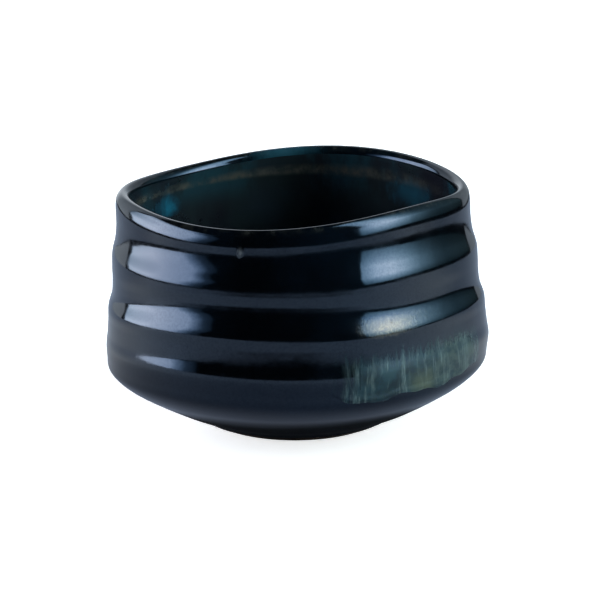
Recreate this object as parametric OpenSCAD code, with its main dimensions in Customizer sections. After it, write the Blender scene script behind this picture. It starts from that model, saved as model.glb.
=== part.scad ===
// Matcha bowl: a thrown stoneware bowl with finger grooves round its wall, a rolled lip
// that rises and falls, a low turned foot, and glazes laid over the clay.
// Millimetres, +Z up. The origin is on the table under the middle of the whole bowl,
// and -Y is the side with the streaked glaze a little to its right.

/* [Size] */
// Height of the lip above the table, all round on average
bowl_h = 73; // [71:0.5:80]
// Radius of the belly, the widest ring of the wall
belly_r = 60; // [56:0.1:65]
// Radius of the lip's middle line
lip_r = 53.7; // [50:0.1:57]
// Radius of the lip's round section, glaze included
lip_round = 2.4; // [2:0.1:3]
// Thickness of the glaze outside, inside and over the lip
glaze_t = 0.6; // [0.4:0.05:0.9]

/* [Foot] */
// Outer radius of the foot ring
foot_r = 27; // [25:0.5:28]
// Width of the foot ring
foot_w = 5.5; // [4:0.1:7]
// Height of the foot ring outside
foot_h = 1.5; // [1:0.1:2]
// Rounding of the foot ring's lower edges
foot_round = 0.6; // [0.2:0.1:0.9]
// Height of the hollow inside the foot ring
hollow_h = 5.4; // [4.5:0.1:6]
// Height at which the outer glaze stops short of the foot
glaze_line_h = 2.6; // [2.2:0.1:3.4]

/* [Inside] */
// Height of the floor of the well
well_h = 10.8; // [9.5:0.1:12]

/* [Hand shaping] */
// Swell of the belly out of round in percent, to one, two, three and four sides
belly_swell = [0, 4.1, 2.3, 2.1]; // [0:0.1:4.5]
// Direction of each swell of the belly, degrees from +X
belly_turn = [0, 71, -4, 6]; // [-180:1:180]
// Swell of the rim out of round in percent, to one, two, three and four sides
rim_swell = [5.1, 5.5, 1.5, 1.3]; // [0:0.1:6]
// Direction of each swell of the rim, degrees from +X
rim_turn = [102, 68, 34, -6]; // [-180:1:180]
// Rise of the grooves halfway up the wall, once, twice and three times round
mid_rise = [2.9, 2, 1.8]; // [0:0.1:3]
// Direction of each rise halfway up
mid_turn = [-109, 130, 3]; // [-180:1:180]
// Rise of the lip, once, twice and three times round
lip_rise = [1.5, 0.5, 1]; // [0:0.1:2.5]
// Direction of each rise of the lip
lip_turn = [38, 89, 73]; // [-180:1:180]

/* [Streaked glaze] */
// Direction of the middle of the streaked glaze
streak_turn = -51; // [-180:1:180]
// Angle that the streaked glaze spans
streak_span = 62; // [30:1:80]
// Height of its upper edge
streak_top_h = 44; // [36:0.5:46]
// Height of its lower edge, where the run gathers
streak_foot_h = 19.5; // [17:0.5:24]
// Thickness of its film at the upper edge
streak_film_t = 0.15; // [0.1:0.05:0.3]
// Thickness of the roll along its lower edge
streak_roll_t = 0.6; // [0.3:0.05:0.9]

/* [Glaze bead] */
// Direction of the small bead of glaze under the lip
bead_turn = -106; // [-180:1:180]
// Height of the bead's middle
bead_h = 66.8; // [60:0.1:67]
// Width of the bead
bead_w = 4.5; // [3:0.1:7]
// Length of the bead down the wall
bead_l = 5.5; // [4:0.1:7]
// Thickness of the bead over the glaze
bead_t = 0.8; // [0.3:0.05:1.2]

/* [Hidden] */

clay_colour = [0.20, 0.17, 0.15];
dark_glaze_colour = [0.05, 0.07, 0.10];
inner_glaze_colour = [0.04, 0.08, 0.09];
lip_glaze_colour = [0.16, 0.18, 0.20];
streak_colour = [0.22, 0.32, 0.30];

sides = 48;            // points round every ring
wall_rings = 24;       // rings up the outside
span_steps = 2;        // rings between two knots of the inside
lip_steps = 6;         // steps over the lip's half circle
lip_h = bowl_h - lip_round;      // height of the lip's middle line
hollow_r = foot_r - foot_w;      // inner radius of the foot ring
shoulder_h = 27;       // height of the belly, the widest ring
calm_h = 7;            // height below which the rings lie level
mid_h = 43;            // height of the rings that mid_rise moves
calm_r = 30;           // radius within which the floor of the well is level
axis_x = -1.15;        // the wheel's axis, which centres the finished bowl on the origin

// How far each ring stands in from the belly, from the foot up: [height, inset].
// Three shallow grooves lie at about 33, 48 and 65, with soft ridges between them.
wall_inset = [
    [foot_h, 29.95], [4, 25.45], [7, 19.05], [11, 11.5], [15, 5], [19, 1.05], [23, 0.35],
    [shoulder_h, 0], [31, 0.42], [35, 0.68], [39, 0.86], [mid_h, 2.07], [47, 2.35],
    [51, 2.3], [55, 2.49], [59, 3.55], [63, 4.02], [67, 4.04]
];
outside_line = concat(
    [for (p = wall_inset) [p[0] * wall_scale(p[0]), belly_r - p[1]]],
    [[lip_h, lip_r + lip_round]]);

// The inside from the middle of the well to the lip: [radius, height].
inside_line = concat(
    [[0, well_h], [16, well_h + 0.2], [28, well_h + 1.4], [38, well_h + 4.4],
     [46, well_h + 9], [51.3, 26.5], [53.8, 33.5], [54.2, 40], [53.6, 47], [53.2, 54],
     [52.8, 60.5], [52.1, 65.3]],
    [[lip_r - lip_round, lip_h]]);

// The wall stretches with the bowl's height above the belly, and not below it.
function wall_scale(h) = h <= shoulder_h ? 1 :
    (shoulder_h + (h - shoulder_h) * (lip_h - shoulder_h) / (70.6 - shoulder_h)) / h;

function clamp01(t) = max(0, min(1, t));
function mix(a, b, t) = a + (b - a) * t;
function reversed(list) = [for (i = [len(list) - 1 : -1 : 0]) list[i]];

// Out-of-round shape: each entry of size swells 1, 2, 3 ... sides towards its turn.
function lobes(size, turn, a, n = 0) = n == len(size) ? 0 :
    size[n] * cos((n + 1) * (a - turn[n])) + lobes(size, turn, a, n + 1);

function swell(h, a) = h < shoulder_h
    ? clamp01((h - foot_h) / (shoulder_h - foot_h)) * lobes(belly_swell, belly_turn, a)
    : mix(lobes(belly_swell, belly_turn, a), lobes(rim_swell, rim_turn, a),
          clamp01((h - shoulder_h) / (lip_h - shoulder_h)));

function rise(r, h, a) = clamp01(r / calm_r) * (h < mid_h
    ? clamp01((h - calm_h) / (mid_h - calm_h)) * lobes(mid_rise, mid_turn, a)
    : mix(lobes(mid_rise, mid_turn, a), lobes(lip_rise, lip_turn, a),
          clamp01((h - mid_h) / (lip_h - mid_h))));

// A point of the true bowl from its radius and height on the even one.
function shaped(p, a) = let (r = p[0] * (1 + swell(p[1], a) / 100))
    [axis_x + r * cos(a), r * sin(a), p[1] + rise(p[0], p[1], a)];

// Smooth line through knots [height, radius]: radius and slope at a height.
function slope_at(line, i) = let (a = max(i - 1, 0), b = min(i + 1, len(line) - 1))
    (line[b][1] - line[a][1]) / (line[b][0] - line[a][0]);
function span_of(line, h, i = 0) =
    i < len(line) - 2 && h > line[i + 1][0] ? span_of(line, h, i + 1) : i;
function radius_at(line, h) = let (
        i = span_of(line, h), p = line[i], q = line[i + 1], w = q[0] - p[0],
        t = (h - p[0]) / w)
    p[1] * (1 + 2 * t) * pow(1 - t, 2) + slope_at(line, i) * w * t * pow(1 - t, 2)
    + q[1] * t * t * (3 - 2 * t) + slope_at(line, i + 1) * w * t * t * (t - 1);

// A point of the outside at a height, moved out from the surface by depth.
function outside(h, depth = 0) = let (
        r = radius_at(outside_line, h),
        lean = (radius_at(outside_line, h + 0.1) - radius_at(outside_line, h - 0.1)) / 0.2,
        face = [1, -lean] / norm([1, -lean]))
    [r, h] + depth * face;

// Smooth curve through knots [radius, height], with equal steps in each span.
function between(a, b, c, d, t) = 0.5 * (2 * b + (c - a) * t
    + (2 * a - 5 * b + 4 * c - d) * t * t + (3 * b - a - 3 * c + d) * t * t * t);
function curve(line, steps) = let (last = len(line) - 1)
    [for (i = [0 : last - 1], k = [0 : steps - 1])
        between(line[max(i - 1, 0)], line[i], line[i + 1], line[min(i + 2, last)],
                k / steps),
     line[last]];

// A line's points moved sideways by depth, to the left of its run.
function beside(line, depth) = let (last = len(line) - 1)
    [for (i = [0 : last]) let (run = line[min(i + 1, last)] - line[max(i - 1, 0)])
        line[i] + depth * [-run[1], run[0]] / norm(run)];

function arc(r, from, to, steps) =
    [for (k = [0 : steps]) let (a = mix(from, to, k / steps))
        [lip_r + r * cos(a), lip_h + r * sin(a)]];

wall_h = [for (k = [0 : wall_rings - 1]) mix(glaze_line_h, lip_h, k / (wall_rings - 1))];
outside_face = [for (h = wall_h) h == lip_h ? [lip_r + lip_round, h] : outside(h)];
outside_clay = [for (h = wall_h) h == lip_h ? [lip_r + lip_round - glaze_t, h]
                                            : outside(h, -glaze_t)];
inside_face = curve(inside_line, span_steps);
inside_last = len(inside_face) - 1;
inside_side = beside(inside_face, -glaze_t);
inside_clay = [for (i = [0 : inside_last])
    i == 0 ? [0, well_h - glaze_t] :
    i == inside_last ? [lip_r - lip_round + glaze_t, lip_h] : inside_side[i]];
lip_face = arc(lip_round, 0, 180, lip_steps);
lip_clay = arc(lip_round - glaze_t, 0, 180, lip_steps);

// The clay's section from the middle of the hollow, round the wall, to the well.
clay_underside = [
    [0, hollow_h + 0.4], [hollow_r - 4, hollow_h + 0.2], [hollow_r - 1, hollow_h - 0.4],
    [hollow_r, foot_h], outside(foot_h + 0.1, -glaze_t) - [0, 0.1]
];
function inner_part(list) = [for (i = [1 : len(list) - 2]) list[i]];
clay_section = concat(clay_underside, outside_clay, inner_part(lip_clay),
                      reversed(inside_clay));
// The inner glaze runs from the middle of the well to the lip and back under itself.
inner_glaze_section = concat(inside_face, reversed(inside_clay));

function side_faces(rings, closed) =
    [for (j = [0 : rings - (closed ? 1 : 2)], i = [0 : sides - 1]) let (
            up = (j + 1) % rings, next = (i + 1) % sides,
            a = j * sides + i, b = j * sides + next,
            c = up * sides + next, d = up * sides + i)
        each [[a, c, b], [a, d, c]]];

// A closed section turned round the wheel's axis and shaped with the bowl.
module turned_ring(section) {
    polyhedron(
        points = [for (p = section, i = [0 : sides - 1]) shaped(p, i * 360 / sides)],
        faces = side_faces(len(section), true));
}

// The same for a section whose first and last points lie on the axis.
module turned_solid(section) {
    rings = inner_part(section);
    first = len(rings) * sides;
    top = first - sides;
    polyhedron(
        points = concat(
            [for (p = rings, i = [0 : sides - 1]) shaped(p, i * 360 / sides)],
            [shaped(section[0], 0), shaped(section[len(section) - 1], 0)]),
        faces = concat(
            side_faces(len(rings), false),
            [for (i = [0 : sides - 1]) [first, i, (i + 1) % sides]],
            [for (i = [0 : sides - 1]) [first + 1, top + (i + 1) % sides, top + i]]));
}

// A film on the outside: grid points from u = 0 to 1 round and v = 0 to 1 up.
module film_patch(across, up, under, over) {
    row = across + 1;
    shift = row * (up + 1);
    edge = concat(
        [for (i = [0 : across - 1]) i],
        [for (j = [0 : up - 1]) j * row + across],
        [for (i = [across : -1 : 1]) up * row + i],
        [for (j = [up : -1 : 1]) j * row]);
    polyhedron(
        points = concat(under, over),
        faces = concat(
            [for (j = [0 : up - 1], i = [0 : across - 1]) let (a = j * row + i)
                each [[a, a + 1, a + row + 1], [a, a + row + 1, a + row]]],
            [for (j = [0 : up - 1], i = [0 : across - 1]) let (a = j * row + i + shift)
                each [[a, a + row + 1, a + 1], [a, a + row, a + row + 1]]],
            [for (k = [0 : len(edge) - 1]) let (a = edge[k], b = edge[(k + 1) % len(edge)])
                each [[a, b + shift, b], [a, a + shift, b + shift]]]));
}

// The streaked glaze: a thin film that thickens into a wavy roll at its lower edge.
streak_across = 18;
streak_up = 10;
function streak_angle(u) = streak_turn + streak_span * (u - 0.5);
function streak_height(u, v) = let (
        low = streak_foot_h + 1.1 * cos(540 * u + 40) + 4 * pow(abs(2 * u - 1), 3),
        high = streak_top_h + 1.2 * sin(430 * u) - 2.5 * pow(abs(2 * u - 1), 3))
    mix(low, high, v);
function streak_depth(u, v) = mix(streak_roll_t, streak_film_t, clamp01(v * 3.5))
    * mix(0.35, 1, clamp01(min(u, 1 - u) * 8)) * mix(0.4, 1, clamp01(v * 20));
function streak_points(rise_by) = [for (j = [0 : streak_up], i = [0 : streak_across]) let (
        u = i / streak_across, v = j / streak_up)
    shaped(outside(streak_height(u, v), rise_by * streak_depth(u, v)), streak_angle(u))];

// The bead: a low oval drop of glaze.
bead_steps = 8;
function bead_points(rise_by) = [for (j = [0 : bead_steps], i = [0 : bead_steps]) let (
        x = 2 * i / bead_steps - 1, y = 2 * j / bead_steps - 1,
        e = x * sqrt(1 - y * y / 2), f = y * sqrt(1 - x * x / 2),
        proud = 0.15 + 0.85 * sqrt(max(0, 1 - e * e - f * f)),
        lean = e * bead_w / 2 * 180 / (PI * lip_r))
    shaped(outside(bead_h + f * bead_l / 2, rise_by * bead_t * proud), bead_turn + lean)];

// Thrown body of dark stoneware, bare under the glazes and inside the foot.
module clay_body() {
    color(clay_colour) turned_solid(clay_section);
}

// Turned foot ring, bare clay, on which the bowl stands.
module foot_ring() {
    color(clay_colour) translate([axis_x, 0, 0]) rotate_extrude($fn = 96) difference() {
        translate([hollow_r, 0]) square([foot_w, foot_h]);
        for (edge = [[hollow_r, 0], [foot_r, 1]])
            translate([edge[0], 0]) difference() {
                translate([-foot_round, -foot_round])
                    square([2 * foot_round, 2 * foot_round]);
                translate([edge[1] == 0 ? foot_round : -foot_round, foot_round])
                    circle(r = foot_round, $fn = 48);
                translate([edge[1] == 0 ? foot_round : -2 * foot_round, -foot_round])
                    square([foot_round, 2 * foot_round]);
            }
    }
}

// Dark blue-black glaze outside, from the glaze line to the lip.
module outer_glaze() {
    color(dark_glaze_colour) turned_ring(concat(outside_face, reversed(outside_clay)));
}

// Dark blue-green glaze inside, over the well and up the wall.
module inner_glaze() {
    color(inner_glaze_colour) turned_solid(inner_glaze_section);
}

// Glaze over the rolled lip, where it runs thin.
module lip_glaze() {
    color(lip_glaze_colour) turned_ring(concat(lip_face, reversed(lip_clay)));
}

// Second glaze poured over the wall, streaked with blue-green and ochre.
module streaked_glaze() {
    color(streak_colour)
        film_patch(streak_across, streak_up, streak_points(0), streak_points(1));
}

// Bead of glaze that set under the lip.
module glaze_bead() {
    color(lip_glaze_colour)
        film_patch(bead_steps, bead_steps, bead_points(0), bead_points(1));
}

clay_body();
foot_ring();
outer_glaze();
inner_glaze();
lip_glaze();
streaked_glaze();
glaze_bead();
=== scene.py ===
import math

import bpy
import numpy as np
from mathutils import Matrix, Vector, noise


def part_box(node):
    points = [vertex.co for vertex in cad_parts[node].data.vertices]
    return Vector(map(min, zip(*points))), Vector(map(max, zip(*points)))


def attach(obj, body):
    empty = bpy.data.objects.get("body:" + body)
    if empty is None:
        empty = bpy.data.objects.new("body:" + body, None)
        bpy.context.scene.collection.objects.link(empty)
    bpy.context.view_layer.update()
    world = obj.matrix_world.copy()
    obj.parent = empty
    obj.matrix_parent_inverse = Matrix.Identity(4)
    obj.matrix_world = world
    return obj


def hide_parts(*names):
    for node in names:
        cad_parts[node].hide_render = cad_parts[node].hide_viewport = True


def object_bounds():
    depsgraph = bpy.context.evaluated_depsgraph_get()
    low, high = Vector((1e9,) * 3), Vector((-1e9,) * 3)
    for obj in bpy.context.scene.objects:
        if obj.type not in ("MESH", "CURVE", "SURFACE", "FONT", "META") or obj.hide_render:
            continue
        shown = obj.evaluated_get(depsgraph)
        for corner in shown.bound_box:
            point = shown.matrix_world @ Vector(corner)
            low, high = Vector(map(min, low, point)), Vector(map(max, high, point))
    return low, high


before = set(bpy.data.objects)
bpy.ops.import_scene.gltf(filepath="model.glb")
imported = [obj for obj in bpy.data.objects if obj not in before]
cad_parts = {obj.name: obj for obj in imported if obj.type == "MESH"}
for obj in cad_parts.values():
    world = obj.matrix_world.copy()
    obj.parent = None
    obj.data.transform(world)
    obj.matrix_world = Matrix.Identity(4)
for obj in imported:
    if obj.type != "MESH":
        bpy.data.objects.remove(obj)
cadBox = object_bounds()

# The matcha bowl as it is made: a thrown clay body, a turned foot ring, and the glazes over them.
# Lengths in the dictionaries are millimetres, and everything that Blender gets is in metres.

mm = 0.001
bpy.ops.object.select_all(action="DESELECT")

footLow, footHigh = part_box("foot_ring")
wheelX = ((footLow + footHigh) / 2).x / mm  # the wheel's axis, as the foot ring gives it
footH = (footHigh.z - footLow.z) / mm
footR = (footHigh.x - footLow.x) / mm / 2

form = {  # the bowl as it left the wheel, before it was pressed by hand
    "bellyR": 60.0,   # widest ring of the wall
    "bellyH": 27.0,   # and its height
    "lipR": 53.7,     # middle line of the lip
    "lipH": 70.6,
    "lipRound": 2.4,  # radius of the lip's section
    "glazeT": 0.6,    # how thick each glaze lies
    "wellH": 10.8,    # floor of the well
    "hollowR": 21.5,  # hollow inside the foot ring, and its height
    "hollowH": 5.4,
    "glazeLineH": 2.6,  # the outer glaze stops at this height
    # how far each ring stands in from the belly: height, inset
    "wallInset": ((footH, 29.95), (4, 25.45), (7, 19.05), (11, 11.5), (15, 5), (19, 1.05),
                  (23, 0.35), (27, 0), (31, 0.42), (35, 0.68), (39, 0.86), (43, 2.07),
                  (47, 2.35), (51, 2.3), (55, 2.49), (59, 3.55), (63, 4.02), (67, 4.04)),
    # the inside from the middle of the well to the lip: radius, height
    "insideLine": ((0, 10.8), (16, 11), (28, 12.2), (38, 15.2), (46, 19.8), (51.3, 26.5),
                   (53.8, 33.5), (54.2, 40), (53.6, 47), (53.2, 54), (52.8, 60.5),
                   (52.1, 65.3)),
}

hands = {  # how the soft bowl was pressed out of round: amount and direction of each lobe
    "bellySwell": ((0, 0), (4.1, 71), (2.3, -4), (2.1, 6)),      # percent
    "rimSwell": ((5.1, 102), (5.5, 68), (1.5, 34), (1.3, -6)),   # percent
    "midRise": ((2.9, -109), (2.0, 130), (1.8, 3)),              # mm
    "lipRise": ((1.5, 38), (0.5, 89), (1.0, 73)),                # mm
    "calmH": 7.0,     # the rings lie level below this height
    "midH": 43.0,     # and take the middle's rise at this one
    "calmR": 30.0,    # the floor of the well is level within this radius
    "leanIn": 1.1,    # how far the outer side of the lip leans in, and from what height
    "leanH": 67.5,
    "dry": 0.996,     # keeps the smooth skin inside the design's box
    "wobble": 0.02,   # unevenness left by the fingers
    "wobbleSize": 14.0,
    "wobbleR": (5.0, 30.0),  # it grows between these distances from the wheel's axis
    "wobbleH": 6.0,   # and over this height, from twice the foot's height up
}


def lobes(entries, a):
    return sum(size * np.cos((n + 1) * (a - math.radians(turn)))
               for n, (size, turn) in enumerate(entries))


def ramp(x, low, high):
    return np.clip((x - low) / (high - low), 0, 1)


def pressed(r, h, a):
    # a point of the finished bowl, in mm, from its radius, height and angle on the wheel
    belly = lobes(hands["bellySwell"], a)
    rim = lobes(hands["rimSwell"], a)
    up = ramp(h, form["bellyH"], form["lipH"])
    swell = ramp(h, footH, form["bellyH"]) * belly * (1 - up) + rim * up
    mid = lobes(hands["midRise"], a)
    lip = lobes(hands["lipRise"], a)
    over = ramp(h, hands["midH"], form["lipH"])
    rise = ramp(h, hands["calmH"], hands["midH"]) * mid * (1 - over) + lip * over
    rise = rise * np.clip(r / hands["calmR"], 0, 1)
    outerSide = np.clip((r - form["lipR"]) / form["lipRound"], 0, 1)
    lean = ramp(h, hands["leanH"], form["lipH"] + form["lipRound"]) ** 2 * outerSide
    out = (r - hands["leanIn"] * lean) * (1 + swell / 100) * hands["dry"]
    return wheelX + out * np.cos(a), out * np.sin(a), (h + rise) * hands["dry"]


wallKnots = [(h, form["bellyR"] - inset) for h, inset in form["wallInset"]]
wallKnots.append((form["lipH"], form["lipR"] + form["lipRound"]))
knotH = np.array([k[0] for k in wallKnots])
knotR = np.array([k[1] for k in wallKnots])
knotSlope = np.array([
    (knotR[min(i + 1, len(knotR) - 1)] - knotR[max(i - 1, 0)])
    / (knotH[min(i + 1, len(knotH) - 1)] - knotH[max(i - 1, 0)]) for i in range(len(knotH))])


def wallRadius(h):
    i = np.clip(np.searchsorted(knotH, h, side="left") - 1, 0, len(knotH) - 2)
    w = knotH[i + 1] - knotH[i]
    t = (h - knotH[i]) / w
    return (knotR[i] * (1 + 2 * t) * (1 - t) ** 2 + knotSlope[i] * w * t * (1 - t) ** 2
            + knotR[i + 1] * t * t * (3 - 2 * t) + knotSlope[i + 1] * w * t * t * (t - 1))


def wallPoint(h, depth=0.0):
    # outside of the glazed wall at a height, moved out from its face by depth
    h = np.asarray(h, float)
    lean = (wallRadius(h + 0.05) - wallRadius(h - 0.05)) / 0.1
    size = np.sqrt(1 + lean ** 2)
    return wallRadius(h) + depth / size, h - depth * lean / size


def smoothLine(knots, steps):
    # smooth curve through the knots, with equal steps in each span
    k = np.array(knots, float)
    last = len(k) - 1
    out = []
    for i in range(last):
        a, b, c, d = k[max(i - 1, 0)], k[i], k[i + 1], k[min(i + 2, last)]
        for t in np.arange(steps) / steps:
            out.append(0.5 * (2 * b + (c - a) * t + (2 * a - 5 * b + 4 * c - d) * t * t
                              + (3 * b - a - 3 * c + d) * t ** 3))
    out.append(k[last])
    return np.array(out)


def beside(line, depth):
    # the line moved sideways, to the left of its run
    run = np.gradient(line, axis=0)
    run /= np.linalg.norm(run, axis=1)[:, None]
    return line + depth * np.stack([-run[:, 1], run[:, 0]], 1)


def lipArc(radius, angles):
    a = np.radians(angles)
    return np.stack([form["lipR"] + radius * np.cos(a), form["lipH"] + radius * np.sin(a)], 1)


turnSides = 216  # faces round every ring


def deselectAll():
    if bpy.context.object and bpy.context.object.mode != "OBJECT":
        bpy.ops.object.mode_set(mode="OBJECT")
    bpy.ops.object.select_all(action="DESELECT")


def drawSection(name, line):
    # a circle whose points are set out along the section, standing in the X-Z plane
    deselectAll()
    bpy.ops.mesh.primitive_circle_add(vertices=len(line), radius=0.05, fill_type="NOTHING")
    piece = bpy.context.object
    piece.name = name
    piece.data.name = name
    for spot, (r, h) in zip(piece.data.vertices, line):
        spot.co = (r * mm, 0, h * mm)
    return piece


def turnOnWheel(piece, onAxis=False):
    # spins the section round the wheel's axis into a closed shell
    mesh = piece.data
    for vertex in mesh.vertices:
        vertex.select = False
    for edge in mesh.edges:
        edge.select = onAxis and all(abs(mesh.vertices[v].co.x) < 1e-7 for v in edge.vertices)
    bpy.ops.object.mode_set(mode="EDIT")
    bpy.ops.mesh.select_mode(type="EDGE")
    if onAxis:
        bpy.ops.mesh.delete(type="EDGE")
    bpy.ops.mesh.select_all(action="SELECT")
    bpy.ops.mesh.spin(steps=turnSides, angle=math.tau, center=(0, 0, 0), axis=(0, 0, 1))
    bpy.ops.mesh.select_all(action="SELECT")
    bpy.ops.mesh.remove_doubles(threshold=2e-6)
    bpy.ops.mesh.normals_make_consistent(inside=False)
    bpy.ops.object.mode_set(mode="OBJECT")


def readPoints(mesh):
    co = np.zeros(len(mesh.vertices) * 3)
    mesh.vertices.foreach_get("co", co)
    return co.reshape(-1, 3)


def placePoints(mesh, r, h, a):
    # notes each point's height on the wheel, then puts it where the pressed bowl has it
    ring = mesh.attributes.new("ringHeight", "FLOAT", "POINT")
    ring.data.foreach_set("value", np.asarray(h, np.float32))
    mesh.vertices.foreach_set("co", (np.stack(pressed(r, h, a), 1) * mm).ravel())
    fingerWobble(mesh)
    mesh.update()


def pressByHand(piece):
    x, y, h = readPoints(piece.data).T / mm
    placePoints(piece.data, np.hypot(x, y), h, np.arctan2(y, x))


def fingerWobble(mesh):
    size = hands["wobbleSize"] * mm
    near, far = hands["wobbleR"]
    foot = 2 * footH * mm
    for vertex in mesh.vertices:
        spot = vertex.co
        out = Vector((spot.x - wheelX * mm, spot.y, 0))
        if out.length < near * mm or spot.z < foot:
            continue
        calm = min(1, (out.length / mm - near) / (far - near))
        calm *= min(1, (spot.z - foot) / (hands["wobbleH"] * mm))
        push = noise.noise(Vector((spot.x, spot.y, spot.z * 1.6)) / size)
        vertex.co = spot + out.normalized() * push * hands["wobble"] * mm * calm


def layOnWall(name, columns, rows, thick, where):
    # a thin skin on the outer wall; where gives angle, height and depth from -1..1 each way
    deselectAll()
    bpy.ops.mesh.primitive_grid_add(x_subdivisions=columns, y_subdivisions=rows, size=2)
    piece = bpy.context.object
    piece.name = name
    piece.data.name = name
    across, up, _ = readPoints(piece.data).T
    angle, height, depth = where(across, up)
    r, h = wallPoint(height, depth)
    placePoints(piece.data, r, h, angle)
    shell = piece.modifiers.new("shell", "SOLIDIFY")
    shell.thickness = thick * mm
    shell.offset = -1
    bpy.ops.object.modifier_apply(modifier=shell.name)
    return piece


def finish(piece, slot, material, *nodes):
    deselectAll()
    piece.select_set(True)
    bpy.context.view_layer.objects.active = piece
    bpy.ops.object.shade_smooth_by_angle(angle=math.radians(40))  # sharper edges stay crisp
    piece.data.materials.clear()
    piece.data.materials.append(material)
    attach(piece, "root")
    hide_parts(*nodes)
    deselectAll()
    print(piece.name, len(piece.data.polygons), "faces")


def newMaterial(name):
    material = bpy.data.materials.new(name)
    material.use_nodes = True
    nodes = material.node_tree.nodes
    nodes.clear()
    shader = nodes.new("ShaderNodeBsdfPrincipled")
    output = nodes.new("ShaderNodeOutputMaterial")
    material.node_tree.links.new(shader.outputs["BSDF"], output.inputs["Surface"])
    return material, shader


class Bench:
    # short ways to add nodes to one material

    def __init__(self, material):
        self.tree = material.node_tree

    def add(self, kind, **values):
        node = self.tree.nodes.new(kind)
        for key, value in values.items():
            setattr(node, key, value)
        return node

    def join(self, source, target):
        self.tree.links.new(source, target)

    def put(self, socket, value):
        if hasattr(value, "is_linked") or hasattr(value, "links"):
            self.join(value, socket)
        else:
            socket.default_value = value

    def place(self):
        return self.add("ShaderNodeTexCoord").outputs["Object"]

    def ring(self):
        return self.add("ShaderNodeAttribute", attribute_name="ringHeight").outputs["Fac"]

    def stretched(self, vector, scale, location=(0, 0, 0)):
        node = self.add("ShaderNodeMapping")
        self.put(node.inputs["Vector"], vector)
        node.inputs["Scale"].default_value = scale
        node.inputs["Location"].default_value = location
        return node.outputs["Vector"]

    def noise(self, vector, scale, detail=3.0, rough=0.5):
        node = self.add("ShaderNodeTexNoise")
        self.put(node.inputs["Vector"], vector)
        node.inputs["Scale"].default_value = scale
        node.inputs["Detail"].default_value = detail
        node.inputs["Roughness"].default_value = rough
        return node.outputs["Fac"]

    def spots(self, vector, scale, width, soft):
        # 1 inside small round spots, 0 outside
        node = self.add("ShaderNodeTexVoronoi", feature="F1")
        self.put(node.inputs["Vector"], vector)
        node.inputs["Scale"].default_value = scale
        return self.remap(node.outputs["Distance"], width, width - soft, 0, 1)

    def remap(self, value, fromLow, fromHigh, toLow, toHigh):
        node = self.add("ShaderNodeMapRange", clamp=True, interpolation_type="SMOOTHSTEP")
        self.put(node.inputs["Value"], value)
        for key, number in (("From Min", fromLow), ("From Max", fromHigh),
                            ("To Min", toLow), ("To Max", toHigh)):
            self.put(node.inputs[key], number)
        return node.outputs["Result"]

    def math(self, operation, a, b=0.0):
        node = self.add("ShaderNodeMath", operation=operation)
        for socket, value in zip(node.inputs, (a, b)):
            self.put(socket, value)
        return node.outputs["Value"]

    def times(self, a, b):
        return self.math("MULTIPLY", a, b)

    def plus(self, a, b):
        return self.math("ADD", a, b)

    def mix(self, amount, a, b, blend="MIX"):
        node = self.add("ShaderNodeMix", data_type="RGBA", blend_type=blend)
        self.put(node.inputs[0], amount)
        for socket, value in ((node.inputs[6], a), (node.inputs[7], b)):
            if isinstance(value, tuple):
                value = (*value, 1.0)
            self.put(socket, value)
        return node.outputs[2]

    def bump(self, height, strength, distance):
        node = self.add("ShaderNodeBump")
        node.inputs["Strength"].default_value = strength
        node.inputs["Distance"].default_value = distance
        self.put(node.inputs["Height"], height)
        return node.outputs["Normal"]

    def turnAngle(self):
        # degrees round the wheel's axis from +X, on the finished bowl
        split = self.add("ShaderNodeSeparateXYZ")
        self.join(self.place(), split.inputs[0])
        x = self.math("SUBTRACT", split.outputs["X"], wheelX * mm)
        angle = self.math("ARCTAN2", split.outputs["Y"], x)
        return self.math("DEGREES", angle)

    def wallMap(self, roundScale, upScale):
        # place on the wall without a seam: round the ring in X and Y, up it in Z
        split = self.add("ShaderNodeSeparateXYZ")
        self.join(self.place(), split.inputs[0])
        x = self.math("SUBTRACT", split.outputs["X"], wheelX * mm)
        flat = self.add("ShaderNodeCombineXYZ")
        self.join(x, flat.inputs["X"])
        self.join(split.outputs["Y"], flat.inputs["Y"])
        unit = self.add("ShaderNodeVectorMath", operation="NORMALIZE")
        self.join(flat.outputs[0], unit.inputs[0])
        parts = self.add("ShaderNodeSeparateXYZ")
        self.join(unit.outputs[0], parts.inputs[0])
        return self.vector(self.times(parts.outputs["X"], roundScale),
                           self.times(parts.outputs["Y"], roundScale),
                           self.times(self.ring(), upScale))

    def vector(self, x, y, z=0.0):
        node = self.add("ShaderNodeCombineXYZ")
        for socket, value in zip(node.inputs, (x, y, z)):
            self.put(socket, value)
        return node.outputs[0]

    def flatWall(self, roundScale, upScale, wander=0.0, shift=0.0):
        # degrees across and millimetres up, for the front of the bowl
        angle = self.turnAngle()
        if wander:
            sway = self.noise(self.vector(self.times(angle, 0.09), self.times(self.ring(), 0.10),
                                          shift), 1.0, 2, 0.5)
            angle = self.plus(angle, self.times(self.plus(sway, -0.5), wander))
        return self.vector(self.times(angle, roundScale), self.times(self.ring(), upScale), shift)

    def patch(self, turn, height, wide, tall, ragged=0.0, grain=0.25):
        # 1 in the middle of an oval on the wall, 0 outside it
        angle = self.turnAngle()
        across = self.times(self.plus(angle, -turn), 1 / wide)
        up = self.times(self.plus(self.ring(), -height), 1 / tall)
        away = self.math("SQRT", self.plus(self.times(across, across), self.times(up, up)))
        if ragged:
            rough = self.noise(self.flatWall(grain, grain, 0, turn), 1.0, 4, 0.6)
            away = self.plus(away, self.times(self.plus(rough, -0.5), ragged))
        return self.remap(away, 1, 0, 0, 1)


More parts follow.
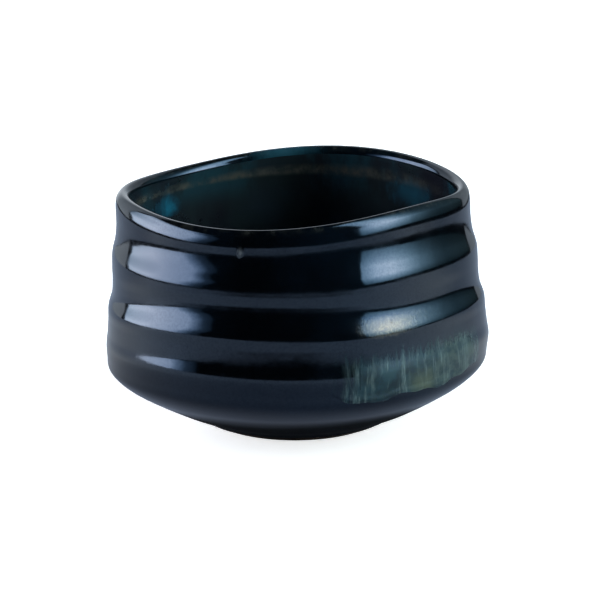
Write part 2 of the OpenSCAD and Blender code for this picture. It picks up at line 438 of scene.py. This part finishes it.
glazeLook = {
    "black": (0.0006, 0.0011, 0.0017),
    "navy": (0.0013, 0.0034, 0.0062),
    "teal": (0.0020, 0.0105, 0.0150),
    "fur": (0.018, 0.050, 0.062),        # pale streaks that ran down
    "gap": (0.007, 0.015, 0.019),        # between them
    "pale": (0.085, 0.125, 0.124),       # where the second glaze lies thick
    "pool": (0.006, 0.018, 0.022),       # its darker and greener clouds at the right
    "moss": (0.030, 0.049, 0.042),
    "ochre": (0.058, 0.070, 0.040),
    # painted highlight: cream base colour where the right light's reflection falls
    "creamHighlight": (0.30, 0.27, 0.20),
    "rust": (0.054, 0.056, 0.048),       # where the glaze breaks thin over an edge
    "wellDark": (0.0080, 0.0092, 0.0130),  # down inside the bowl
    "wellBlue": (0.0110, 0.0175, 0.0205),
    "wellTeal": (0.012, 0.055, 0.075),   # clouds under the ledge inside
    "pond": (0.010, 0.105, 0.170),       # where it pooled at the left and the right
    "lipPool": (0.024, 0.096, 0.135),    # and on the lip at the back
    "beadHighlight": (0.10, 0.11, 0.11),         # the bead's painted highlight: a pale base colour in its heart
    "beadHeart": (-105.5, 65.6, 1.3, 3.0),  # its angle, height, and how far it spreads each way
    "tint": (0.50, 0.69, 1.0),           # cool sheen of its reflections
    "grainTint": (0.24, 0.38, 0.64),     # in the fine grain of the gloss
    "duskTint": (0.20, 0.36, 0.66),      # duller, bluer reflections high on the left front and along the top of the run
    "iceTint": (0.80, 0.93, 1.0),
    "creamTint": (1.0, 0.88, 0.72),
    "runTint": (0.22, 0.34, 0.33),       # where the second glaze is a little dry
    "ior": 1.50,
    "rough": 0.085,
}


def glazeSurface(b, shader, colour, fine=1.0, extraBump=None, rough=None, tint=None):
    # the gloss that all the glazes share
    ripple = b.noise(b.stretched(b.place(), (1, 1, 0.7)), 150, 2, 0.5)
    pores = b.noise(b.place(), 950, 2, 0.6)
    height = b.plus(ripple, b.times(pores, 0.16 * fine))
    if extraBump is not None:
        height = b.plus(height, extraBump)
    b.join(colour, shader.inputs["Base Color"])
    uneven = b.remap(b.noise(b.place(), 110, 5, 0.7), 0.35, 0.7,
                     glazeLook["rough"] * 0.75, glazeLook["rough"] * 1.5)
    if rough is not None:
        uneven = b.plus(uneven, rough)
    b.join(uneven, shader.inputs["Roughness"])
    shader.inputs["IOR"].default_value = glazeLook["ior"]
    grain = b.remap(b.noise(b.place(), 1500, 3, 0.7), 0.40, 0.66, 0, 0.55 * fine)
    sheen = glazeLook["tint"] if tint is None else tint
    b.join(b.mix(grain, sheen, glazeLook["grainTint"]), shader.inputs["Specular Tint"])
    b.join(b.bump(height, 0.6, 0.00003), shader.inputs["Normal"])


def darkColour(b):
    # near-black glaze, clouded with blue and a little teal, with faint long streaks
    cloud = b.remap(b.noise(b.stretched(b.place(), (1, 1, 0.7)), 28, 4, 0.55), 0.42, 0.68, 0, 1)
    colour = b.mix(cloud, glazeLook["black"], glazeLook["navy"])
    pools = b.remap(b.noise(b.stretched(b.place(), (1, 1, 0.5), (3, 1, 0)), 17, 3, 0.5),
                    0.55, 0.74, 0, 0.5)
    colour = b.mix(pools, colour, glazeLook["teal"])
    fur = b.remap(b.noise(b.wallMap(95, 0.11), 1.0, 4, 0.62), 0.60, 0.85, 0, 0.10)
    return b.mix(fur, colour, glazeLook["fur"])


def streakParts(b):
    # the run of the second glaze: a whole area, its hard streaks and its soft smears
    feather = b.noise(b.flatWall(0.95, 0.02, 0, 3.0), 1.0, 3, 0.7)
    reach = b.plus(b.ring(), b.times(feather, 9))
    top = b.remap(reach, 38.5, 33.5, 0, 1)
    foot = b.remap(b.ring(), 18.2, 20.8, 0, 1)
    ragged = b.times(b.plus(b.noise(b.flatWall(0.40, 0.06, 0, 1.0), 1.0, 4, 0.65), -0.5), 24)
    angle = b.plus(b.turnAngle(), ragged)
    left = b.remap(angle, -80, -69, 0, 1)
    right = b.remap(b.plus(angle, b.times(b.plus(feather, -0.5), 16)), -14, -24, 0, 1)
    area = b.times(b.times(left, right), b.times(top, foot))
    coarse = b.remap(b.noise(b.flatWall(0.42, 0.055, 3.0, 5.0), 1.0, 5, 0.62), 0.45, 0.57, 0, 1)
    hair = b.remap(b.noise(b.flatWall(1.35, 0.13, 2.0, 7.0), 1.0, 4, 0.66), 0.47, 0.60, 0, 1)
    smear = b.remap(b.noise(b.flatWall(0.13, 0.16, 0, 9.0), 1.0, 4, 0.6), 0.36, 0.64, 0, 1)
    return area, coarse, hair, smear


def darkGlaze():
    material, shader = newMaterial("darkGlaze")
    b = Bench(material)
    colour = darkColour(b)
    pits = b.times(b.spots(b.stretched(b.place(), (1, 1, 1), (0.4, 0.2, 0.1)), 60, 0.04, 0.03), -4)
    # duller, bluer reflections high on the left front
    dusk = b.mix(b.patch(-150, 58, 52, 13, 0.3), glazeLook["tint"], glazeLook["duskTint"])
    glazeSurface(b, shader, colour, 1.0, pits, None, dusk)
    return material


def insideGlaze():
    material, shader = newMaterial("insideGlaze")
    b = Bench(material)
    cloud = b.remap(b.noise(b.stretched(b.place(), (1, 1, 0.6)), 30, 4, 0.6), 0.42, 0.66, 0, 1)
    colour = b.mix(cloud, glazeLook["wellDark"], glazeLook["wellBlue"])
    pools = b.remap(b.noise(b.stretched(b.place(), (1, 1, 0.6), (1, 5, 0)), 46, 5, 0.65),
                    0.46, 0.66, 0, 1)
    upper = b.remap(b.ring(), 56, 67, 0, 0.5)
    colour = b.mix(b.times(pools, upper), colour, glazeLook["wellTeal"])
    ledge = b.times(b.remap(b.ring(), 64.4, 65.9, 0, 1), b.remap(b.ring(), 68.6, 66.2, 0, 1))
    broken = b.remap(b.noise(b.wallMap(9, 0.16), 1.0, 5, 0.65), 0.36, 0.66, 0.1, 1)
    worn = b.remap(b.turnAngle(), 22, 62, 0.05, 1.0)  # plainest at the back and the left
    colour = b.mix(b.times(b.times(ledge, worn), broken), colour, glazeLook["rust"])
    for turn, height, wide, tall in ((144, 60.5, 10, 6), (46, 63, 14, 5)):
        pond = b.times(b.patch(turn, height, wide, tall, 0.9), b.plus(0.35, pools))
        colour = b.mix(pond, colour, glazeLook["pond"])
    glazeSurface(b, shader, colour, 1.0, None, 0.07)
    return material


def lipGlaze():
    material, shader = newMaterial("lipGlaze")
    b = Bench(material)
    colour = darkColour(b)
    thin = b.remap(b.ring(), form["lipH"] + 0.4, form["lipH"] + 2.2, 0, 0.25)
    broken = b.remap(b.noise(b.wallMap(22, 0.3), 1.0, 4, 0.6), 0.42, 0.68, 0, 1)
    colour = b.mix(b.times(thin, broken), colour, glazeLook["rust"])
    pool = b.patch(94, form["lipH"] + 1, 16, 9, 0.8)
    colour = b.mix(b.times(pool, 0.6), colour, glazeLook["lipPool"])
    glazeSurface(b, shader, colour, 1.0)
    return material


def pouredGlaze():
    material, shader = newMaterial("pouredGlaze")
    b = Bench(material)
    area, coarse, hair, smear = streakParts(b)
    colour = darkColour(b)
    base = b.mix(b.times(smear, 0.7), glazeLook["gap"], glazeLook["fur"])
    colour = b.mix(b.times(area, 0.9), colour, base)
    runs = b.remap(b.noise(b.flatWall(0.21, 0.07, 0, 21.0), 1.0, 3, 0.55), 0.42, 0.56, 0, 1)
    streaks = b.times(coarse, b.plus(0.35, b.times(hair, 0.65)))
    streaks = b.times(streaks, b.plus(0.25, b.times(runs, 0.75)))
    mottle = b.remap(b.noise(b.flatWall(0.22, 0.28, 0, 13.0), 1.0, 5, 0.65), 0.42, 0.58, 0, 1)
    clouded = b.times(b.remap(b.plus(b.turnAngle(), b.times(smear, 8)), -50, -36, 0, 0.85), area)
    colour = b.mix(clouded, colour, b.mix(mottle, glazeLook["pool"], glazeLook["moss"]))
    calm = b.plus(1, b.times(clouded, -0.62))
    colour = b.mix(b.times(b.times(streaks, calm), area), colour, glazeLook["pale"])
    olive = b.times(b.patch(-49, 22.5, 9, 5.5, 1.1, 0.3), area)
    colour = b.mix(b.times(olive, 0.75), colour, glazeLook["ochre"])
    # frosty and cream-coloured grains above the run; the cream in the base colour is a painted
    # highlight where the right light's reflection falls
    grit = b.remap(b.noise(b.place(), 1300, 3, 0.7), 0.42, 0.62, 0, 1)
    ice = b.times(b.patch(-56, 41.5, 22, 5.0, 0.8, 0.4), b.plus(0.35, b.times(grit, 0.65)))
    warm = b.times(b.patch(-61, 40.2, 13, 3.4, 0.6, 0.5), b.plus(0.45, b.times(grit, 0.55)))
    tint = b.mix(b.times(ice, 0.85), glazeLook["tint"], glazeLook["iceTint"])
    tint = b.mix(warm, tint, glazeLook["creamTint"])
    # duller, bluer reflections in crumbly speckles along the top of the run
    crumbs = b.plus(b.noise(b.flatWall(0.9, 0.9, 0, 31.0), 1.0, 4, 0.7), -0.5)
    over = b.remap(b.plus(b.ring(), b.times(crumbs, 9)), 40.8, 44.2, 0, 0.9)
    tint = b.mix(over, tint, glazeLook["duskTint"])
    tint = b.mix(b.times(area, 0.9), tint, glazeLook["runTint"])
    # painted highlight: cream base colour on the middle bulge, under the right light's reflection
    colour = b.mix(b.times(warm, 0.72), colour, glazeLook["creamHighlight"])
    colour = b.mix(b.times(ice, 0.10), colour, glazeLook["pale"])
    # thin dark scratches and one pit among them
    scratch = b.times(b.remap(b.noise(b.flatWall(1.6, 0.22, 0, 11.0), 1.0, 2, 0.5),
                              0.66, 0.72, 0, 1), b.patch(-62, 39, 14, 3.5))
    colour = b.mix(scratch, colour, glazeLook["black"])
    pit = b.patch(-60, 41.4, 1.1, 1.0, 0.5, 2.0)
    colour = b.mix(pit, colour, glazeLook["black"])
    relief = b.plus(b.times(b.times(streaks, area), 1.2), b.times(b.times(grit, ice), 0.8))
    roughUp = b.plus(b.times(area, 0.24), b.times(ice, 0.05))
    glazeSurface(b, shader, colour, 1.3, relief, roughUp, tint)
    return material


def beadGlaze():
    # the drop is a little frosted, and its pale heart is a painted highlight in its base colour,
    # so it shows as a soft pale smudge
    material, shader = newMaterial("beadGlaze")
    b = Bench(material)
    cloud = b.remap(b.noise(b.place(), 700, 3, 0.6), 0.4, 0.6, 0, 1)
    heart = b.patch(*glazeLook["beadHeart"], 0.5)
    # painted highlight: pale base colour in the bead's heart
    pale = b.times(heart, b.plus(0.4, b.times(cloud, 0.6)))
    colour = b.mix(pale, darkColour(b), glazeLook["beadHighlight"])
    glazeSurface(b, shader, colour, 1.0, None, b.times(heart, 0.25))
    return material


clayLook = {
    "dark": (0.020, 0.014, 0.010),
    "warm": (0.062, 0.040, 0.027),
    "grog": (0.16, 0.12, 0.085),
}


def bareClay():
    material, shader = newMaterial("bareClay")
    b = Bench(material)
    patch = b.remap(b.noise(b.place(), 70, 5, 0.6), 0.35, 0.65, 0, 1)
    colour = b.mix(patch, clayLook["dark"], clayLook["warm"])
    grog = b.times(b.spots(b.place(), 1100, 0.28, 0.12), 0.6)
    colour = b.mix(grog, colour, clayLook["grog"])
    b.join(colour, shader.inputs["Base Color"])
    turning = b.add("ShaderNodeTexWave", wave_type="RINGS", rings_direction="Z")
    centred = b.stretched(b.place(), (1, 1, 0), (-wheelX * mm, 0, 0))
    b.join(centred, turning.inputs["Vector"])
    turning.inputs["Scale"].default_value = 190
    turning.inputs["Distortion"].default_value = 1.4
    turning.inputs["Detail"].default_value = 3
    grain = b.noise(b.place(), 1500, 4, 0.7)
    height = b.plus(b.times(turning.outputs["Fac"], 0.5), b.plus(grain, b.times(grog, 1.2)))
    b.join(b.bump(height, 0.7, 0.00012), shader.inputs["Normal"])
    rough = b.remap(grain, 0.3, 0.7, 0.62, 0.88)
    b.join(rough, shader.inputs["Roughness"])
    shader.inputs["IOR"].default_value = 1.45
    return material


darkGlazeFinish = darkGlaze()
insideGlazeFinish = insideGlaze()
lipGlazeFinish = lipGlaze()
pouredGlazeFinish = pouredGlaze()
beadGlazeFinish = beadGlaze()
bareClayFinish = bareClay()
print("glazes and clay mixed")

glazeT = form["glazeT"]
lipJoinSteps = np.array([0, 0.05, 0.15, 0.3, 0.5])  # close rings where two glazes meet

clayBody = {"wallRings": 60, "insideSteps": 5, "lipAngles": np.linspace(0, 180, 13)}


def insideFace(steps):
    knots = list(form["insideLine"]) + [(form["lipR"] - form["lipRound"], form["lipH"])]
    return smoothLine(knots, steps)


def insideBack(steps):
    line = beside(insideFace(steps), -glazeT)
    line[0] = (0, form["wellH"] - glazeT)
    line[-1] = (form["lipR"] - form["lipRound"] + glazeT, form["lipH"])
    return line


def wallFace(heights, depth=0.0):
    r, h = wallPoint(heights, depth)
    line = np.stack([r, h], 1)
    line[-1] = (form["lipR"] + form["lipRound"] + depth, form["lipH"])
    return line


def throwClayBody():
    hollowR, hollowH = form["hollowR"], form["hollowH"]
    hollow = smoothLine([(0, hollowH + 0.5), (hollowR * 0.5, hollowH + 0.45),
                         (hollowR - 4, hollowH + 0.2), (hollowR - 1.2, hollowH - 0.5),
                         (hollowR - 0.2, hollowH - 2), (hollowR, footH)], 6)
    spring = wallPoint(footH + 0.1, -glazeT)
    flat = [(hollowR + k * (float(spring[0]) - hollowR) / 6, footH) for k in range(1, 7)]
    low = np.linspace(footH + 0.25, form["glazeLineH"], 6)[:-1]
    bare = np.stack(wallPoint(low, -glazeT), 1)
    heights = np.linspace(form["glazeLineH"], form["lipH"], clayBody["wallRings"])
    wall = wallFace(heights, -glazeT)
    lip = lipArc(form["lipRound"] - glazeT, clayBody["lipAngles"])[1:-1]
    well = insideBack(clayBody["insideSteps"])[::-1]
    line = np.concatenate([hollow, flat, bare, wall, lip, well])
    piece = drawSection("clayBody", line)
    turnOnWheel(piece, onAxis=True)
    pressByHand(piece)
    finish(piece, "clay", bareClayFinish, "clay_body")


throwClayBody()

footRing = {"round": 0.6, "arcSteps": 6, "faceSteps": 8}


def turnFootRing():
    inner, outer, soft = form["hollowR"], footR, footRing["round"]
    quarter = np.radians(np.linspace(0, 90, footRing["arcSteps"] + 1))
    outerEdge = [(outer - soft + soft * math.sin(t), soft - soft * math.cos(t)) for t in quarter]
    innerEdge = [(inner + soft - soft * math.cos(t), soft - soft * math.sin(t)) for t in quarter]
    stand = [(mix, 0) for mix in np.linspace(inner + soft, outer - soft,
                                             footRing["faceSteps"] + 1)[1:-1]]
    top = [(mix, footH) for mix in np.linspace(outer, inner, footRing["faceSteps"] + 1)]
    piece = drawSection("footRing", innerEdge + stand + outerEdge + top)
    turnOnWheel(piece)
    pressByHand(piece)
    finish(piece, "clay", bareClayFinish, "foot_ring")


turnFootRing()

outerGlaze = {"step": 0.45, "backRings": 26, "endSteps": 6}  # step is the space between rings


def pourOuterGlaze():
    low, high = form["glazeLineH"], form["lipH"]
    count = int((high - low) / outerGlaze["step"])
    heights = np.concatenate([np.linspace(low, high - 0.8, count), high - lipJoinSteps[:0:-1],
                              [high]])
    face = wallFace(heights)
    back = wallFace(np.linspace(low, high, outerGlaze["backRings"]), -glazeT)[::-1]
    # the glaze ends above the foot in a soft rounded edge
    r0, h0 = wallPoint(low, -glazeT / 2)
    turnIn = math.atan2(float(face[0][1] - back[-1][1]), float(face[0][0] - back[-1][0]))
    ends = [(float(r0) + glazeT / 2 * math.cos(turnIn - t), float(h0)
             + glazeT / 2 * math.sin(turnIn - t))
            for t in np.linspace(math.pi, 0, outerGlaze["endSteps"] + 2)[1:-1]]
    piece = drawSection("outerGlaze", np.concatenate([face, back, ends]))
    turnOnWheel(piece)
    pressByHand(piece)
    finish(piece, "dark_glaze", darkGlazeFinish, "outer_glaze")


pourOuterGlaze()

innerGlaze = {"steps": 12, "backSteps": 2}


def pourInnerGlaze():
    face = insideFace(innerGlaze["steps"])
    last = face[-1]
    joins = [(np.interp(last[1] - d, face[:, 1], face[:, 0]), last[1] - d)
             for d in lipJoinSteps[:0:-1]]
    face = np.concatenate([face[face[:, 1] < last[1] - 0.8], joins, [last]])
    back = insideBack(innerGlaze["backSteps"])[::-1]
    piece = drawSection("innerGlaze", np.concatenate([face, back]))
    turnOnWheel(piece, onAxis=True)
    pressByHand(piece)
    finish(piece, "inner_glaze", insideGlazeFinish, "inner_glaze")


pourInnerGlaze()

lipCoat = {"step": 5.0, "backStep": 20.0, "joins": (0, 1.2, 3.0)}  # degrees round the lip


def coatLip():
    joins = list(lipCoat["joins"])
    angles = joins + list(np.arange(lipCoat["step"], 180 - lipCoat["step"] + 0.1,
                                    lipCoat["step"])) + [180 - j for j in joins[::-1]]
    face = lipArc(form["lipRound"], angles)
    back = lipArc(form["lipRound"] - glazeT, np.arange(180, -1, -lipCoat["backStep"]))
    piece = drawSection("lipGlaze", np.concatenate([face, back]))
    turnOnWheel(piece)
    pressByHand(piece)
    finish(piece, "lip_glaze", lipGlazeFinish, "lip_glaze")


coatLip()

streakedGlaze = {
    "fromAngle": -86, "toAngle": -8, "lowH": 17.0, "highH": 48.5,
    "columns": 190, "rows": 110,
    "sunk": -0.05,      # its edges lie this far under the dark glaze
    "film": 0.09, "thick": 0.3,
    "roll": 0.17, "rollH": 0.95, "rollEnd": -52,   # the roll at its lower edge, on the left
    "edgeH": 20.3, "edgeThin": (-0.4, 0.9),
    "tongues": ((0.55, 14, 50), (0.35, 31, 0)),    # length, how many round the bowl, turn
    "leftRise": 2.6, "leftEnd": (70, 82),
    "rightRise": 5.0, "rightEnd": (-34, -12),
    "leftThin": (-84, -72), "rightThin": (10, 24), "topThin": (-47.5, -38),
}


def runEdge(angle):
    # height at which the poured glaze stopped, in tongues of uneven length
    s = streakedGlaze
    tongues = sum(long * np.cos(np.radians(count * angle + turn))
                  for long, count, turn in s["tongues"])
    leftEnd = ramp(-angle, *s["leftEnd"]) ** 2
    rightEnd = ramp(angle, *s["rightEnd"]) ** 2
    return s["edgeH"] + tongues + s["leftRise"] * leftEnd + s["rightRise"] * rightEnd


def ease(t):
    return t * t * (3 - 2 * t)


def filmDepth(angle, h):
    s = streakedGlaze
    side = ease(ramp(angle, *s["leftThin"])) * ease(ramp(-angle, *s["rightThin"]))
    top = ease(ramp(-h, *s["topThin"]))
    above = h - runEdge(angle)
    edge = ease(ramp(above, *s["edgeThin"]))
    gather = np.clip((s["rollEnd"] - angle) / 8, 0.15, 1) * np.clip(side * 1.2, 0, 1)
    roll = np.exp(-((above - s["edgeThin"][1]) / s["rollH"]) ** 2) * gather
    return s["sunk"] + edge * (side * top * (s["film"] - s["sunk"]) + roll * s["roll"])


def pourStreakedGlaze():
    s = streakedGlaze

    def where(across, up):
        angle = s["fromAngle"] + (across + 1) / 2 * (s["toAngle"] - s["fromAngle"])
        height = s["lowH"] + (up + 1) / 2 * (s["highH"] - s["lowH"])
        return np.radians(angle), height, filmDepth(angle, height)

    piece = layOnWall("streakedGlaze", s["columns"], s["rows"], s["thick"], where)
    finish(piece, "streaked_glaze", pouredGlazeFinish, "streaked_glaze")


pourStreakedGlaze()

glazeBead = {
    "angle": -105.5, "height": 66.9, "wide": 2.2, "long": 3.6,
    "proud": 0.10, "sunk": -0.04, "thick": 0.3,   # its middle stands out, its edges are sunk
    "spreadAcross": 1.0, "spreadUp": 2.4, "taper": 0.22,
    "columns": 40, "rows": 48,
}


def setGlazeBead():
    # a soft drop whose edges sink under the dark glaze
    s = glazeBead

    def where(across, up):
        narrow = s["spreadAcross"] * (1 - s["taper"] * up)
        side, rise = across * s["wide"], up * s["long"]
        drop = np.exp(-(side / narrow) ** 2 - (rise / s["spreadUp"]) ** 2)
        angle = math.radians(s["angle"]) + side / form["lipR"]
        return angle, s["height"] + rise, s["sunk"] + drop * (s["proud"] - s["sunk"])

    piece = layOnWall("glazeBead", s["columns"], s["rows"], s["thick"], where)
    finish(piece, "lip_glaze", beadGlazeFinish, "glaze_bead")


setGlazeBead()

# metres and degrees; fades and lift are a light's brightness along it and up it, dim is its
# colour where it fades, and its ends bow in away from the middle by bendStart and bendEnd
studio = {
    "floorSize": 9, "roomR": 7, "tableR": 0.456,
    "white": 0.80,       # how pale the floor looks from its own light alone
    "cloth": ((0.93, 0.95, 1.0), (0.98, 0.99, 1.0)),
    "clothBehind": (0.36, 0.42, 0.54),   # behind the bowl, round it, and under it
    "clothNear": (0.28, 0.33, 0.43),
    "clothUnder": (0.008, 0.010, 0.014),
    "clothBase": (0.38, 0.38, 0.38), "clothGlow": 0.52,
    "dark": (0.006, 0.007, 0.009, 1),    # outside the room
    "leftBox": {"from": -128, "to": -52, "away": 0.95, "foot": -0.032, "high": 0.73,
                "glow": 8.6, "colour": (0.91, 0.93, 1.0), "dim": (0.5, 0.75, 1.0),
                "fades": ((0, 0.08), (0.053, 0.32), (0.21, 0.66), (0.41, 1), (0.63, 0.97),
                          (0.74, 0.92), (0.80, 0.52), (0.895, 0.10), (0.98, 0.04), (1, 0)),
                "lift": ((0, 0.85), (0.1, 1), (0.8, 1), (1, 0.6)),
                "middle": 0.42, "bendStart": 0.4, "bendEnd": 0.9},
    "rightBox": {"from": 59, "to": 137, "away": 0.95, "foot": -0.012, "high": 2.2,
                 "glow": 13.0, "colour": (0.97, 1.0, 0.97), "dim": (0.45, 0.85, 1.0),
                 "fades": ((0, 0.4), (0.03, 0.5), (0.165, 0.95), (0.29, 1), (0.37, 0.72),
                           (0.485, 0.24), (0.58, 0.08), (0.67, 0.035), (0.90, 0.02), (1, 0.015)),
                 "lift": ((0, 0.25), (0.05, 0.62), (0.11, 1), (0.25, 0.9), (0.5, 0.6), (1, 0.4)),
                 "middle": 0.09, "bendStart": 2.8, "bendEnd": 0.0},
    "backDrop": {"from": 139, "to": 230.5, "away": 1.7, "foot": -0.16, "high": 1.76,
                 "glow": 1.0, "colour": (0.84, 0.92, 1.0), "dim": (0.7, 0.86, 1.0),
                 "fades": ((0, 0.55), (0.2, 0.35), (0.36, 0.45), (0.48, 1), (0.62, 1),
                           (0.76, 0.5), (0.92, 0.8), (1, 0.95)),
                 "lift": ((0, 1), (1, 1)), "middle": 0.5, "bendStart": 0.0, "bendEnd": 0.0},
    "cornerMost": 0.05,   # how far a light's corners may be rounded, of its width
}


def floorMaterial():
    material, shader = newMaterial("floorWhite")
    b = Bench(material)
    cloud = b.noise(b.place(), 2.0, 2, 0.5)
    paper = b.mix(cloud, (0.891, 0.891, 0.891), (0.9, 0.9, 0.9))
    b.join(paper, shader.inputs["Base Color"])
    b.join(paper, shader.inputs["Emission Color"])
    shader.inputs["Emission Strength"].default_value = studio["white"]
    shader.inputs["Roughness"].default_value = 0.9
    return material


def fadeCurve(b, along, stops):
    curve = b.add("ShaderNodeValToRGB")
    spots = curve.color_ramp.elements
    while len(spots) < len(stops):
        spots.new(0.5)
    for spot, (place, level) in zip(spots, stops):
        spot.position = place
        spot.color = (level, level, level, 1)
    b.join(along, curve.inputs["Fac"])
    return curve.outputs["Color"]


def glowMaterial(name, colour, strength, box=None):
    # an even light, or a softbox with rounded ends that fades along its length and height
    material = bpy.data.materials.new(name)
    material.use_nodes = True
    nodes = material.node_tree.nodes
    nodes.clear()
    glow = nodes.new("ShaderNodeEmission")
    output = nodes.new("ShaderNodeOutputMaterial")
    glow.inputs["Color"].default_value = (*colour, 1)
    glow.inputs["Strength"].default_value = strength
    material.node_tree.links.new(glow.outputs[0], output.inputs["Surface"])
    if box:
        b = Bench(material)
        split = b.add("ShaderNodeSeparateXYZ")
        b.join(b.add("ShaderNodeUVMap", uv_map="UVMap").outputs["UV"], split.inputs[0])
        along, up = split.outputs["X"], split.outputs["Y"]
        off = b.plus(up, -box["middle"])
        bow = b.times(off, off)
        startBow = b.math("MINIMUM", b.times(bow, box["bendStart"]), studio["cornerMost"])
        endBow = b.math("MINIMUM", b.times(bow, box["bendEnd"]), 2 * studio["cornerMost"])
        level = fadeCurve(b, b.plus(along, endBow), box["fades"])
        level = b.times(level, fadeCurve(b, up, box["lift"]))
        level = b.times(level, b.remap(b.math("SUBTRACT", along, startBow), 0, 0.02, 0, 1))
        b.join(b.mix(level, box["dim"], colour), glow.inputs["Color"])
        b.join(b.times(level, strength), glow.inputs["Strength"])
    return material


def tableMaterial():
    # pale cloth, darker close round the foot where the bowl shades it
    material, shader = newMaterial("tableWhite")
    b = Bench(material)
    far = b.add("ShaderNodeVectorMath", operation="LENGTH")
    b.join(b.place(), far.inputs[0])
    near = b.remap(far.outputs["Value"], 0.05, 0.17, 1, 0)
    under = b.remap(far.outputs["Value"], 0.0435, 0.034, 0, 1)
    split = b.add("ShaderNodeSeparateXYZ")
    b.join(b.place(), split.inputs[0])
    behind = b.remap(split.outputs["Y"], 0.02, 0.16, 0, 1)
    cloud = b.noise(b.place(), 3.0, 2, 0.5)
    cloth = b.mix(cloud, *studio["cloth"])
    cloth = b.mix(behind, cloth, studio["clothBehind"])
    cloth = b.mix(near, cloth, studio["clothNear"])
    cloth = b.mix(under, cloth, studio["clothUnder"])
    b.join(b.mix(1.0, cloth, studio["clothBase"], "MULTIPLY"), shader.inputs["Base Color"])
    b.join(cloth, shader.inputs["Emission Color"])
    shader.inputs["Emission Strength"].default_value = studio["clothGlow"]
    shader.inputs["Roughness"].default_value = 0.95
    return material


def seenByCameraOnly(piece):
    piece.visible_diffuse = False
    piece.visible_glossy = False
    piece.visible_transmission = False
    piece.visible_shadow = False


def setStage(name, material):
    # names the primitive that was just added and gives it its material
    piece = bpy.context.object
    piece.name = name
    piece.data.materials.append(material)
    deselectAll()
    return piece


def layFloor():
    # the pale sheet that the bowl is seen on, the table under it that the glaze mirrors, the room
    deselectAll()
    bpy.ops.mesh.primitive_plane_add(size=1)
    sheet = setStage("floor", floorMaterial())
    sheet.scale = (studio["floorSize"], studio["floorSize"], 1)
    seenByCameraOnly(sheet)
    bpy.ops.mesh.primitive_circle_add(vertices=128, radius=studio["tableR"], fill_type="NGON",
                                      location=(0, 0, -0.0005))
    setStage("table", tableMaterial()).visible_camera = False
    bpy.ops.mesh.primitive_uv_sphere_add(segments=64, ring_count=32, radius=studio["roomR"])
    seenByCameraOnly(setStage("room", glowMaterial("roomWhite", (1, 1, 1), 1.0)))


def addSoftbox(name, box):
    # an upright curved light that stands on the floor; bearing 0 is the front, 90 the right
    bpy.ops.mesh.primitive_grid_add(x_subdivisions=48, y_subdivisions=1, size=1)
    panel = setStage(name, glowMaterial(name, box["colour"], box["glow"], box))
    for vertex in panel.data.vertices:
        turn = math.radians(box["from"] + (vertex.co.x + 0.5) * (box["to"] - box["from"]))
        up = box["foot"] + (vertex.co.y + 0.5) * box["high"]
        vertex.co = (box["away"] * math.sin(turn), -box["away"] * math.cos(turn), up)
    panel.visible_camera = False
    panel.visible_shadow = False


layFloor()
addSoftbox("leftSoftbox", studio["leftBox"])
addSoftbox("rightSoftbox", studio["rightBox"])
addSoftbox("backDrop", studio["backDrop"])

world = bpy.data.worlds.new("darkRoom")
world.use_nodes = True
world.node_tree.nodes["Background"].inputs["Color"].default_value = studio["dark"]
world.node_tree.nodes["Background"].inputs["Strength"].default_value = 1.0
bpy.context.scene.world = world
bpy.context.scene.view_settings.view_transform = "Standard"

# aim is measured from the middle of the design's box
view = {"distance": 0.6544, "elevation": 14.4, "lens": 126.7, "aim": (0.0004, -0.0003, -0.00075)}


def placeCamera():
    low, high = cadBox
    aim = (Vector(low) + Vector(high)) / 2 + Vector(view["aim"])
    tilt = math.radians(view["elevation"])
    back = Vector((0, -math.cos(tilt), math.sin(tilt))) * view["distance"]
    camera = bpy.data.cameras.new("camera")
    camera.lens = view["lens"]
    camera.sensor_width = 36
    camera.clip_start = 0.01
    stand = bpy.data.objects.new("camera", camera)
    stand.location = aim + back
    stand.rotation_euler = (-back).to_track_quat("-Z", "Y").to_euler()
    bpy.context.scene.collection.objects.link(stand)
    bpy.context.scene.camera = stand


placeCamera()
print("studio set")
